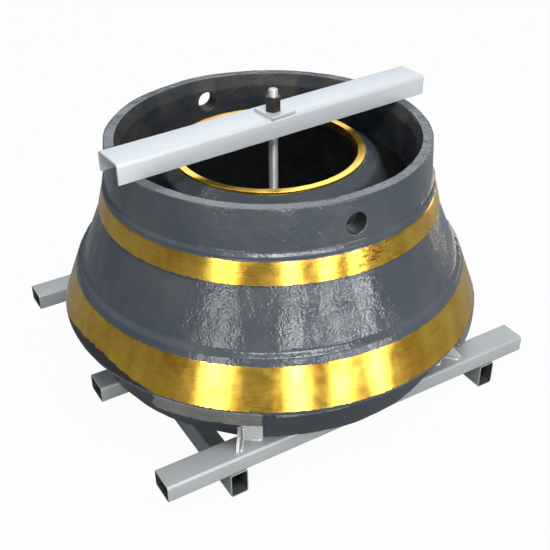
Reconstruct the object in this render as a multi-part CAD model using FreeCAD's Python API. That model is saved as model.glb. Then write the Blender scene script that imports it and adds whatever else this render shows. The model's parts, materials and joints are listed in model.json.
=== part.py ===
import FreeCAD, Part
import math
import os

from FreeCAD import Vector

# Cone crusher liner set: the mantle stands inside the bowl liner, and both are held on a
# welded tube frame by a channel, a tie rod and nuts.
# Millimetres.  +Z is up.  The origin is on the crusher axis, in the plane of the runner soles.
# Levels of the two castings are measured from the bed, which is the top of the cross tubes.

# ---- frame of rectangular tube ---------------------------------------------------------
tube_wide = 60.0            # the stock is 60 x 40: cross tubes lie flat, runners stand on edge
tube_narrow = 40.0
tube_wall = 3.0
tube_corner = 6.0           # outer corner radius
cross_tube_length = 908.0
cross_tube_middle_x = 8.0
front_tube_y = -339.0
middle_tube_y = -2.0
rear_tube_y = 406.0
left_runner_inset = 154.5   # from the end of a cross tube to the middle of the runner
right_runner_inset = 99.5

# ---- mantle, levels above the bed --------------------------------------------------------
mantle_height = 451.5
mantle_bore_radius = 189.5
mantle_bore_depth = 17.0
ring_width = 16.5           # machined ring round the top of the bore
ring_height = 4.5
shoulder_radius = 236.0     # where the rounded shoulder would come to a corner
shoulder_drop = 16.0
shoulder_rounding = 22.0
skirt_radius = 406.0
skirt_height = 48.0
skirt_draft = 2.0
mantle_wall = 50.0          # measured level, through the cone
mantle_foot_width = 54.0
skirt_foot_rounding = 3.0
skirt_top_rounding = 10.0
ring_step = 2.0             # flat left outside the machined ring
ring_edge = 1.0
bore_relief = 5.0           # the cast wall flares below the machined bore
roof_rounding = 8.0         # inside, under the shoulder
head_seat_raise = 3.0       # machined seats for the crusher head stand in from the cast wall
head_seat_height = 70.0
lower_head_seat_level = 14.0
upper_head_seat_level = 325.0

# ---- bowl liner, levels above the bed ----------------------------------------------------
rim_level = 492.0
rim_radius = 344.0
rim_land = 22.0             # flat top of the rim
rim_inner_chamfer = 10.0
rim_chamfer_depth = 27.0
rim_rounding = 2.0
land_rounding = 1.5
collar_foot_radius = 350.0
collar_foot_level = 404.0
collar_fillet = 5.0
lip_radius = 356.5
lip_level = 398.0
lip_rounding = 2.5
lip_groove = 1.5            # undercut between the lip and the upper seat
upper_seat_top_radius = 357.5
upper_seat_top_level = 389.5
upper_seat_foot_radius = 369.5
upper_seat_foot_level = 344.0
seat_proud = 2.5            # a machined seat stands proud of the cast wall below it
cone_foot_radius = 416.0
cone_foot_level = 225.0
cone_foot_fillet = 9.0
bead_radius = 427.5
bead_level = 218.5
bead_rounding = 5.0
bead_groove = 1.0           # undercut between the bead and the lower seat
lower_seat_top_radius = 433.5
lower_seat_top_level = 204.5
lower_seat_foot_radius = 466.5
lower_seat_foot_level = 119.5
liner_foot_level = 108.0
liner_toe_chamfer = 4.5
liner_toe_rounding = 2.0
parallel_zone_height = 82.0  # liner and mantle faces run side by side above the liner's foot
feed_throat_radius = 309.0
feed_throat_level = 380.0
throat_rounding = 20.0
nest_clearance = 0.3

# ---- cast ledges under the lower seat ----------------------------------------------------
ledge_count = 4
ledge_first_angle = -136.5
ledge_arc = 27.5
ledge_proud = 3.5
ledge_width = 44.0
ledge_drop = 23.0           # below the liner's foot
ledge_top_gap = 1.5         # below the foot of the lower seat
ledge_edge = 2.0

# ---- lifting holes in the collar ---------------------------------------------------------
lifting_hole_diameter = 44.0
lifting_hole_level = 440.0
lifting_hole_angle = -92.6

# ---- clamp: channel, plate, tie rod and nuts ---------------------------------------------
channel_length = 768.0
channel_width = 80.0
channel_height = 43.0
channel_wall = 5.0
channel_bend = 8.0
channel_outer_toe = 1.0
channel_inner_toe = 3.0
channel_middle_x = 12.0
channel_middle_y = -5.6
channel_turn = 4.2
rod_x = 1.0
rod_y = -18.0
rod_diameter = 20.0
rod_hole_clearance = 1.0    # on the radius
rod_top_end = 16.0
rod_bottom_end = 10.0
rod_chamfer = 1.5
thread_clearance = 0.15
nut_flats = 30.0
full_nut_height = 20.3
thin_nut_height = 10.0
anchor_nut_height = 18.0
nut_bevel_angle = 30.0      # corner bevels, from the nut's face
plate_side = 62.0
plate_thickness = 6.0
plate_turn = 7.0
plate_shift_x = 6.0         # the rod hole is off the plate's middle by this much
plate_shift_y = 1.5
plate_edge = 0.8

# ---- stops welded to the tubes round the mantle's skirt ----------------------------------
stop_clearance = 2.0
stop_width = 49.0
stop_height = 39.0
stop_thickness = 8.0
gusset_length = 42.0
gusset_thickness = 6.0
gusset_nose = 6.0
front_stop_angle = 53.8     # from the X axis, on both sides of the middle
rear_stop_angle = 70.0

# ---- how turned corners are broken -------------------------------------------------------
single_bevel_limit = 4.0    # a rounding up to this size is cut as one bevel
double_bevel_limit = 12.0   # up to this size as two, and above it as three

# ---- sizes that follow -------------------------------------------------------------------
bed = tube_wide + tube_narrow
cross_tube_left_x = cross_tube_middle_x - cross_tube_length / 2
left_runner_x = cross_tube_left_x + left_runner_inset
right_runner_x = cross_tube_left_x + cross_tube_length - right_runner_inset
ring_radius = mantle_bore_radius + ring_width
shoulder_level = mantle_height - ring_height - shoulder_drop
skirt_top_radius = skirt_radius - skirt_draft
mantle_cone_slope = (skirt_top_radius - shoulder_radius) / (shoulder_level - skirt_height)
rod_hole_radius = rod_diameter / 2 + rod_hole_clearance
rim_top = bed + rim_level
channel_top = rim_top + channel_height
plate_top = channel_top + plate_thickness
thin_nut_top = plate_top + thin_nut_height
full_nut_top = thin_nut_top + full_nut_height
tube_underside = bed - tube_narrow
anchor_plate_foot = tube_underside - plate_thickness
anchor_nut_foot = anchor_plate_foot - anchor_nut_height
rod_top = full_nut_top + rod_top_end
rod_foot = anchor_nut_foot - rod_bottom_end
runner_front_y = front_tube_y - tube_wide / 2
runner_rear_y = rear_tube_y + tube_wide / 2

AXIS = Vector(0, 0, 1)
ORIGIN = Vector(0, 0, 0)


def mantle_face_radius(level):
    """Radius of the mantle's crushing face at a level above the bed."""
    return skirt_top_radius - (level - skirt_height) * mantle_cone_slope


def save(shape, node):
    """Write one node's solids to its STEP file."""
    shape.exportStep("parts/" + node + ".step")


def rounded_wire(corners):
    """Closed outline in the XZ plane; each corner is (x, z, radius), and radius 0 stays sharp."""
    points = [Vector(x, 0, z) for x, z, radius in corners]
    radii = [radius for x, z, radius in corners]
    count = len(points)
    starts = []
    ends = []
    arcs = []
    for i in range(count):
        corner = points[i]
        if radii[i] == 0:
            starts.append(corner)
            ends.append(corner)
            arcs.append(None)
            continue
        back = (points[i - 1] - corner).normalize()
        onward = (points[(i + 1) % count] - corner).normalize()
        half = back.getAngle(onward) / 2
        reach = radii[i] / math.tan(half)
        bisector = (back + onward).normalize()
        middle = corner + bisector * (radii[i] / math.sin(half) - radii[i])
        starts.append(corner + back * reach)
        ends.append(corner + onward * reach)
        arcs.append(Part.Arc(starts[-1], middle, ends[-1]).toShape())
    edges = []
    for i in range(count):
        if arcs[i] is not None:
            edges.append(arcs[i])
        following = starts[(i + 1) % count]
        if ends[i].distanceToPoint(following) > 1e-6:
            edges.append(Part.LineSegment(ends[i], following).toShape())
    return Part.Wire(edges)


def bevels(rounding):
    """Number of flats that stand for a rounding on a turned corner."""
    if rounding <= single_bevel_limit:
        return 1
    return 2 if rounding <= double_bevel_limit else 3


def broken_corner(before, corner, after, rounding):
    """Points of the flats that replace a corner; they all lie on the rounding's arc."""
    if rounding == 0:
        return [corner]
    back = (before - corner).normalize()
    onward = (after - corner).normalize()
    half = back.getAngle(onward) / 2
    reach = rounding / math.tan(half)
    centre = corner + (back + onward).normalize() * (rounding / math.sin(half))
    start = corner + back * reach - centre
    end = corner + onward * reach - centre
    count = bevels(rounding)
    turn = start.getAngle(end)
    points = []
    for k in range(count + 1):
        share = turn * k / count
        blend = start * math.sin(turn - share) + end * math.sin(share)
        points.append(centre + blend * (1 / math.sin(turn)))
    return points


def turned(corners, sweep=360.0, first=0.0):
    """Solid of revolution about the crusher axis from an outline of (radius, height, rounding)."""
    points = [Vector(radius, 0, height) for radius, height, rounding in corners]
    count = len(points)
    outline = []
    for i in range(count):
        outline += broken_corner(points[i - 1], points[i], points[(i + 1) % count], corners[i][2])
    outline.append(outline[0])
    solid = Part.Face(Part.makePolygon(outline)).revolve(ORIGIN, AXIS, sweep)
    solid.rotate(ORIGIN, AXIS, first)
    return solid


def tube(length, across, up):
    """Rectangular tube along X from the origin, centred on Y, standing on Z = 0."""
    def section(inset):
        half = across / 2 - inset
        rounding = max(tube_corner - inset, 0.5)
        outline = rounded_wire([
            (-half, inset, rounding), (half, inset, rounding),
            (half, up - inset, rounding), (-half, up - inset, rounding)])
        return Part.Face(outline)

    ring = section(0.0).cut(section(tube_wall))
    solid = ring.extrude(Vector(0, length, 0))
    solid.rotate(ORIGIN, AXIS, -90)
    return solid


def upright_cylinder(radius, foot, top, x, y):
    """Cylinder round a vertical line."""
    return Part.makeCylinder(radius, top - foot, Vector(x, y, foot))


def hexagon(apothem, level, first):
    """Hexagon on its apothem, with one corner at an angle in degrees."""
    corner = apothem / math.cos(math.pi / 6)
    points = []
    for k in range(7):
        angle = math.radians(60 * k + first)
        points.append(Vector(corner * math.cos(angle), corner * math.sin(angle), level))
    return Part.makePolygon(points)


def hexagon_nut(foot, height):
    """Hexagon nut on the tie rod, with its twelve corners bevelled."""
    apothem = nut_flats / 2
    corner = apothem / math.cos(math.pi / 6)
    bevel = (corner - apothem) * math.tan(math.radians(nut_bevel_angle))
    prism = Part.Face(hexagon(apothem, 0, 0)).extrude(Vector(0, 0, height))
    envelope = Part.makeLoft([
        hexagon(apothem, 0, 30), hexagon(corner, bevel, 30),
        hexagon(corner, height - bevel, 30), hexagon(apothem, height, 30)], True, True)
    bore = Part.makeCylinder(rod_diameter / 2 + thread_clearance, height)
    nut = prism.common(envelope).cut(bore)
    nut.translate(Vector(rod_x, rod_y, foot))
    return nut


def pressure_plate(foot, shift_x, shift_y, turn):
    """Square plate with a clearance hole for the tie rod."""
    half = plate_side / 2
    plate = Part.makeBox(plate_side, plate_side, plate_thickness, Vector(shift_x - half, shift_y - half, 0))
    plate = plate.makeChamfer(plate_edge, plate.Edges)
    plate.rotate(ORIGIN, AXIS, turn)
    plate.translate(Vector(rod_x, rod_y, foot))
    return plate.cut(upright_cylinder(rod_hole_radius, foot, foot + plate_thickness, rod_x, rod_y))


def make_mantle():
    """Manganese cone that stands on the bed: skirt, crushing face, shoulder, ring, bore and head seats."""
    def wall_radius(level):
        return mantle_face_radius(level) - mantle_wall

    def seat(level):
        top = level + head_seat_height
        return [
            (wall_radius(top), top, 0),
            (wall_radius(top) - head_seat_raise, top - head_seat_raise, 0),
            (wall_radius(level) - head_seat_raise, level + head_seat_raise, 0),
            (wall_radius(level), level, 0)]

    bore_foot = mantle_height - mantle_bore_depth
    wall_top = shoulder_level - mantle_wall / 3
    outline = [
        (skirt_radius - mantle_foot_width, 0, 0),
        (skirt_radius, 0, skirt_foot_rounding),
        (skirt_top_radius, skirt_height, skirt_top_rounding),
        (shoulder_radius, shoulder_level, shoulder_rounding),
        (ring_radius + ring_step, mantle_height - ring_height, 0),
        (ring_radius, mantle_height - ring_height, 0),
        (ring_radius, mantle_height, ring_edge),
        (mantle_bore_radius, mantle_height, ring_edge),
        (mantle_bore_radius, bore_foot, 0),
        (mantle_bore_radius + bore_relief, bore_foot - bore_relief, 0),
        (wall_radius(wall_top), wall_top, roof_rounding),
    ]
    outline += seat(upper_head_seat_level)
    outline += seat(lower_head_seat_level)
    outline.append((skirt_radius - mantle_foot_width, lower_head_seat_level / 2, 0))
    solid = turned(outline)
    solid.translate(Vector(0, 0, bed))
    return solid


def make_ledge(first):
    """One cast ledge under the lower seat, starting at an angle in degrees."""
    outer = lower_seat_foot_radius + ledge_proud
    top = lower_seat_foot_level - ledge_top_gap
    foot = liner_foot_level - ledge_drop
    outline = [
        (outer - ledge_width, foot, ledge_edge), (outer, foot, ledge_edge), (outer, top, ledge_edge),
        (outer - ledge_proud * 2, top, 0), (outer - ledge_width, liner_foot_level + ledge_edge, 0)]
    return turned(outline, ledge_arc, first)


def make_bowl_liner():
    """Manganese ring outside the mantle: collar, two machined seats, bead, crushing face and ledges."""
    zone_top = liner_foot_level + parallel_zone_height
    foot_radius = mantle_face_radius(liner_foot_level) + nest_clearance
    land_radius = rim_radius - rim_land
    solid = turned([
        (foot_radius, liner_foot_level, 0),
        (lower_seat_foot_radius - liner_toe_chamfer, liner_foot_level, liner_toe_rounding),
        (lower_seat_foot_radius, lower_seat_foot_level, 0),
        (lower_seat_top_radius, lower_seat_top_level, 0),
        (lower_seat_top_radius - bead_groove, lower_seat_top_level + bead_groove * 2, 0),
        (bead_radius, bead_level, bead_rounding),
        (cone_foot_radius, cone_foot_level, cone_foot_fillet),
        (upper_seat_foot_radius - seat_proud, upper_seat_foot_level - seat_proud, 0),
        (upper_seat_foot_radius, upper_seat_foot_level, 0),
        (upper_seat_top_radius, upper_seat_top_level, 0),
        (lip_radius, upper_seat_top_level + lip_groove, 0),
        (lip_radius, lip_level, lip_rounding),
        (collar_foot_radius, collar_foot_level, collar_fillet),
        (rim_radius, rim_level, rim_rounding),
        (land_radius, rim_level, land_rounding),
        (land_radius - rim_inner_chamfer, rim_level - rim_chamfer_depth, 0),
        (feed_throat_radius, feed_throat_level, throat_rounding),
        (mantle_face_radius(zone_top) + nest_clearance, zone_top, 0),
    ])
    for k in range(ledge_count):
        first = ledge_first_angle - ledge_arc / 2 + k * 360.0 / ledge_count
        solid = solid.fuse(make_ledge(first))
    solid = solid.removeSplitter()
    reach = lower_seat_foot_radius
    drill = turned_hole(lifting_hole_diameter / 2, reach)
    solid = solid.cut(drill)
    solid.translate(Vector(0, 0, bed))
    return solid


def turned_hole(radius, reach):
    """Bar through both walls of the collar for the lifting holes."""
    bar = Part.makeCylinder(radius, 2 * reach, Vector(-reach, 0, lifting_hole_level), Vector(1, 0, 0))
    bar.rotate(ORIGIN, AXIS, lifting_hole_angle)
    return bar


def make_cross_tube(y):
    """Tube across the frame; its top is the bed."""
    solid = tube(cross_tube_length, tube_wide, tube_narrow)
    solid.translate(Vector(cross_tube_left_x, y, tube_underside))
    return solid


def make_runner(x):
    """Tube along Y under the ends of the cross tubes."""
    solid = tube(runner_rear_y - runner_front_y, tube_narrow, tube_wide)
    solid.rotate(ORIGIN, AXIS, 90)
    solid.translate(Vector(x, runner_front_y, 0))
    return solid


def make_clamp_channel():
    """Channel across the rim, open side down, with its flanges on the rim's land."""
    half = channel_width / 2
    inner = half - channel_wall
    roof = channel_height - channel_wall
    section = Part.Face(rounded_wire([
        (-half, 0, channel_outer_toe), (-half, channel_height, channel_bend),
        (half, channel_height, channel_bend), (half, 0, channel_outer_toe),
        (inner, 0, channel_inner_toe), (inner, roof, channel_bend - channel_wall),
        (-inner, roof, channel_bend - channel_wall), (-inner, 0, channel_inner_toe)]))
    solid = section.extrude(Vector(0, channel_length, 0))
    solid.translate(Vector(0, -channel_length / 2, 0))
    solid.rotate(ORIGIN, AXIS, channel_turn - 90)
    solid.translate(Vector(channel_middle_x, channel_middle_y, rim_top))
    return solid.cut(upright_cylinder(rod_hole_radius, rim_top, channel_top, rod_x, rod_y))


def make_tie_rod():
    """Rod from below the middle tube, up through the mantle's bore and the channel."""
    radius = rod_diameter / 2
    rod = turned([
        (0, rod_foot, 0), (radius - rod_chamfer, rod_foot, 0), (radius, rod_foot + rod_chamfer, 0),
        (radius, rod_top - rod_chamfer, 0), (radius - rod_chamfer, rod_top, 0), (0, rod_top, 0)])
    rod.translate(Vector(rod_x, rod_y, 0))
    return rod


def make_stop(angle, side):
    """Stop plate and gusset beside the skirt; side +1 or -1 picks the plate's end for the gusset."""
    inner = skirt_radius + stop_clearance
    outer = inner + stop_thickness
    tip = outer + gusset_length
    plate = Part.makeBox(stop_thickness, stop_width, stop_height, Vector(inner, -stop_width / 2, 0))
    outline = Part.makePolygon([
        Vector(outer, 0, 0), Vector(tip, 0, 0), Vector(tip, 0, gusset_nose),
        Vector(outer + gusset_nose, 0, stop_height), Vector(outer, 0, stop_height), Vector(outer, 0, 0)])
    gusset = Part.Face(outline).extrude(Vector(0, gusset_thickness, 0))
    gusset.translate(Vector(0, side * (stop_width - gusset_thickness) / 2 - gusset_thickness / 2, 0))
    for piece in (plate, gusset):
        piece.rotate(ORIGIN, AXIS, angle)
        piece.translate(Vector(0, 0, bed))
    return plate, gusset


save(make_bowl_liner(), "bowl_liner")
save(make_mantle(), "mantle")

for node, y in (("front_cross_tube", front_tube_y), ("rear_cross_tube", rear_tube_y)):
    save(make_cross_tube(y), node)
rod_drill = upright_cylinder(rod_hole_radius, 0, bed, rod_x, rod_y)
save(make_cross_tube(middle_tube_y).cut(rod_drill), "middle_cross_tube")
for node, x in (("left_runner", left_runner_x), ("right_runner", right_runner_x)):
    save(make_runner(x), node)

save(make_clamp_channel(), "clamp_channel")
save(pressure_plate(channel_top, plate_shift_x, plate_shift_y, plate_turn), "clamp_plate")
save(make_tie_rod(), "tie_rod")
save(hexagon_nut(plate_top, thin_nut_height), "clamp_nut")
save(hexagon_nut(thin_nut_top, full_nut_height), "lock_nut")
save(pressure_plate(anchor_plate_foot, 0, 0, 0), "anchor_plate")
save(hexagon_nut(anchor_nut_foot, anchor_nut_height), "anchor_nut")

stops = (
    ("front_left_stop", front_stop_angle - 180, -1),
    ("front_right_stop", -front_stop_angle, 1),
    ("rear_right_stop", rear_stop_angle, -1),
    ("rear_left_stop", 180 - rear_stop_angle, 1))
for node, angle, side in stops:
    plate, gusset = make_stop(angle, side)
    save(plate, node + "_plate")
    save(gusset, node + "_gusset")
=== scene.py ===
"""Looks of a cone crusher liner set clamped to its welded tube frame.

Lengths are in metres, +Z is up and the crusher's axis is the Z axis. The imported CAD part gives
every main place and size; the finer surfaces here stand in for the nodes that they replace.
"""

import json
import logging
import math
from collections.abc import Callable
from dataclasses import dataclass, field
from enum import Enum

import bmesh
import bpy
import numpy as np
from mathutils import Matrix, Vector

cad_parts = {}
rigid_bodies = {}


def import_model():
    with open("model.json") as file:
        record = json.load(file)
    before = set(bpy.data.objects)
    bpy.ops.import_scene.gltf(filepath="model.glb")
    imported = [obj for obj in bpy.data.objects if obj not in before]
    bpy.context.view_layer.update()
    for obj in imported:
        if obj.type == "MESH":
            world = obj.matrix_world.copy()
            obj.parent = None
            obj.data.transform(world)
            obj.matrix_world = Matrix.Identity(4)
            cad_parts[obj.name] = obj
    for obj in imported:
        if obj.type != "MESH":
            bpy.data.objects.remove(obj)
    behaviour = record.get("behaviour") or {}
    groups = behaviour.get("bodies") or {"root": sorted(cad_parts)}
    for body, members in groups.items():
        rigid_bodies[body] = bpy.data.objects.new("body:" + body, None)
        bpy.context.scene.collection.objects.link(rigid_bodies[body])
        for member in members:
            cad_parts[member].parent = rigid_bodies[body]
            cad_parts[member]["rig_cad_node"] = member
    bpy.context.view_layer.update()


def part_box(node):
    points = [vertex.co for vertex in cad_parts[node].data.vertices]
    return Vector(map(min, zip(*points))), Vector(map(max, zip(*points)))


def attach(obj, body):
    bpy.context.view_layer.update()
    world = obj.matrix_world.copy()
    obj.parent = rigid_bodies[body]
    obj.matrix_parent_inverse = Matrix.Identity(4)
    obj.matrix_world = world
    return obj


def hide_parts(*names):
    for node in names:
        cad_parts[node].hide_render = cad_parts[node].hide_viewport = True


LOG = logging.getLogger("liner_set")
TAU = 2.0 * math.pi
ROOT = "root"
CROSS_TUBES = ("front_cross_tube", "middle_cross_tube", "rear_cross_tube")
RUNNERS = ("left_runner", "right_runner")
NUTS = ("clamp_nut", "lock_nut", "anchor_nut")
# Each stop's corner, the angle where it stands in degrees, and the side of its gusset.
STOPS = (("front_left", -126.2, -1), ("front_right", -53.8, 1), ("rear_right", 70.0, -1),
         ("rear_left", 110.0, 1))
# Spacing of the points on a turned outline, in metres.
HIDDEN_STEP = 0.02
SEAT_STEP = 0.007
COLLAR_STEP = 0.0055
EDGE_STEP = 0.004
LIP_STEP = 0.003
# Keeps the lower seat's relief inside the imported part's box.
SEAT_ROOM = 0.0002

Wall = Callable[[np.ndarray], np.ndarray]


# ---------------------------------------------------------------------------------------------
# Shading
# ---------------------------------------------------------------------------------------------


class Graph:
    """Node tree of one material, read in Object coordinates."""

    def __init__(self, name: str) -> None:
        """Start an empty material.

        Args:
            name: the material's name.
        """
        self.material = bpy.data.materials.new(name)
        self.material.use_nodes = True
        self.tree = self.material.node_tree
        self.tree.nodes.clear()
        self.place = self.add("ShaderNodeTexCoord").outputs["Object"]
        parts = self.add("ShaderNodeSeparateXYZ", Vector=self.place)
        self.x, self.y, self.z = parts.outputs

    def feed(self, socket: bpy.types.NodeSocket, value: object) -> None:
        """Set or link one input.

        Args:
            socket: the input.
            value: a constant, or the output socket to link.
        """
        if isinstance(value, bpy.types.NodeSocket):
            self.tree.links.new(value, socket)
        else:
            socket.default_value = value

    def add(self, kind: str, settings: dict | None = None, **inputs: object) -> bpy.types.Node:
        """Add a node.

        Args:
            kind: the node's type name.
            settings: node properties.
            **inputs: values by input name, with underscores for spaces.

        Returns:
            The new node.
        """
        node = self.tree.nodes.new(kind)
        for key, value in (settings or {}).items():
            setattr(node, key, value)
        for key, value in inputs.items():
            self.feed(node.inputs[key.replace("_", " ")], value)
        return node

    def math(self, operation: str, *terms: object) -> bpy.types.NodeSocket:
        """Combine numbers.

        Args:
            operation: a Math node operation.
            *terms: its terms in order.

        Returns:
            The result.
        """
        node = self.add("ShaderNodeMath", {"operation": operation})
        for socket, term in zip(node.inputs, terms):
            self.feed(socket, term)
        return node.outputs[0]

    def ramp(self, value: object, low: object, high: object, start: float = 0.0,
             end: float = 1.0) -> bpy.types.NodeSocket:
        """Smooth step of a value from one level to another.

        Args:
            value: what is measured.
            low: level that gives start.
            high: level that gives end.
            start: result at low.
            end: result at high.

        Returns:
            The result.
        """
        node = self.add("ShaderNodeMapRange", {"interpolation_type": "SMOOTHSTEP"}, Value=value)
        for key, term in (("From Min", low), ("From Max", high), ("To Min", start), ("To Max", end)):
            self.feed(node.inputs[key], term)
        return node.outputs[0]

    def noise(self, size: float, detail: float = 2.0, roughness: float = 0.5,
              where: object = None) -> bpy.types.NodeSocket:
        """Noise whose features are about one size.

        Args:
            size: feature size in metres.
            detail: octaves.
            roughness: share kept by each octave.
            where: coordinates, if not the object's own.

        Returns:
            A factor near 0.5.
        """
        place = self.place if where is None else where
        node = self.add("ShaderNodeTexNoise", Vector=place, Scale=1.0 / size, Detail=detail,
                        Roughness=roughness)
        return node.outputs[0]

    def scaled(self, factors: tuple[float, float, float]) -> bpy.types.NodeSocket:
        """Object coordinates times three factors.

        Args:
            factors: one factor for each axis.

        Returns:
            The coordinates.
        """
        node = self.add("ShaderNodeVectorMath", {"operation": "MULTIPLY"})
        self.feed(node.inputs[0], self.place)
        self.feed(node.inputs[1], factors)
        return node.outputs[0]

    def blend(self, factor: object, first: object, second: object) -> bpy.types.NodeSocket:
        """Mix two colours.

        Args:
            factor: 0 gives the first and 1 the second.
            first: a colour.
            second: a colour.

        Returns:
            The mixed colour.
        """
        node = self.add("ShaderNodeMix", {"data_type": "RGBA"})
        for index, value in ((0, factor), (6, first), (7, second)):
            self.feed(node.inputs[index], value)
        return node.outputs[2]

    def bump(self, height: object, depth: float, under: object = None) -> bpy.types.NodeSocket:
        """Normal of a relief.

        Args:
            height: relief from 0 to 1.
            depth: its depth in metres.
            under: normal of a coarser relief.

        Returns:
            The normal.
        """
        node = self.add("ShaderNodeBump", Strength=1.0, Distance=depth, Height=height)
        if under is not None:
            self.feed(node.inputs["Normal"], under)
        return node.outputs[0]

    def shader(self, **inputs: object) -> bpy.types.NodeSocket:
        """Principled surface.

        Args:
            **inputs: values by input name, with underscores for spaces.

        Returns:
            The shader.
        """
        return self.add("ShaderNodeBsdfPrincipled", **inputs).outputs[0]

    def layer(self, factor: object, under: object, over: object) -> bpy.types.NodeSocket:
        """Lay one shader over another.

        Args:
            factor: cover of the upper one.
            under: lower shader.
            over: upper shader.

        Returns:
            The mixed shader.
        """
        node = self.add("ShaderNodeMixShader")
        for socket, value in zip(node.inputs, (factor, under, over)):
            self.feed(socket, value)
        return node.outputs[0]

    def finish(self, surface: object) -> bpy.types.Material:
        """Give the material its surface.

        Args:
            surface: the last shader.

        Returns:
            The material.
        """
        output = self.add("ShaderNodeOutputMaterial")
        self.feed(output.inputs["Surface"], surface)
        return self.material


Colour = tuple[float, float, float, float]


def colour(red: float, green: float, blue: float) -> Colour:
    """Opaque colour from linear parts.

    Args:
        red: red part.
        green: green part.
        blue: blue part.

    Returns:
        The colour with full alpha.
    """
    return (red, green, blue, 1.0)


@dataclass(frozen=True)
class CastPaint:
    """Gloss paint brushed over a sand casting."""

    name: str
    base: Colour
    shade: Colour
    roughness: float = 0.15
    peel: float = 0.00062
    grain: float = 0.0052
    smoke: float = 0.0
    stain: Colour = (0.10, 0.085, 0.07, 1.0)
    fleck: Colour = (0.42, 0.43, 0.44, 1.0)
    fleck_share: float = 0.35

    def surface(self, graph: Graph) -> bpy.types.NodeSocket:
        """Build the paint's shader in a graph.

        Args:
            graph: the material's graph.

        Returns:
            The shader.
        """
        wide = graph.noise(0.16, 3.0, 0.6)
        tone = graph.blend(graph.ramp(wide, 0.35, 0.7), self.base, self.shade)
        if self.smoke:
            cloud = graph.ramp(graph.noise(0.11, 4.0, 0.65), 0.46, 0.66)
            tone = graph.blend(graph.math("MULTIPLY", cloud, self.smoke), tone, self.stain)
        speck = graph.ramp(graph.noise(0.006, 2.0, 0.6), 0.735, 0.77)
        tone = graph.blend(graph.math("MULTIPLY", speck, self.fleck_share), tone, self.fleck)
        patch = graph.noise(0.05, 3.0, 0.6)
        rough = graph.ramp(patch, 0.3, 0.75, self.roughness * 0.75, self.roughness * 1.5)
        skin = graph.bump(graph.noise(0.03, 3.0, 0.6), self.peel * 3.0)
        skin = graph.bump(graph.noise(self.grain, 2.0, 0.55), self.peel, skin)
        return graph.shader(Base_Color=tone, Roughness=rough, Specular_IOR_Level=0.55, Normal=skin)

    def material(self) -> bpy.types.Material:
        """Build the material.

        Returns:
            The material.
        """
        graph = Graph(self.name)
        return graph.finish(self.surface(graph))


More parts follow.
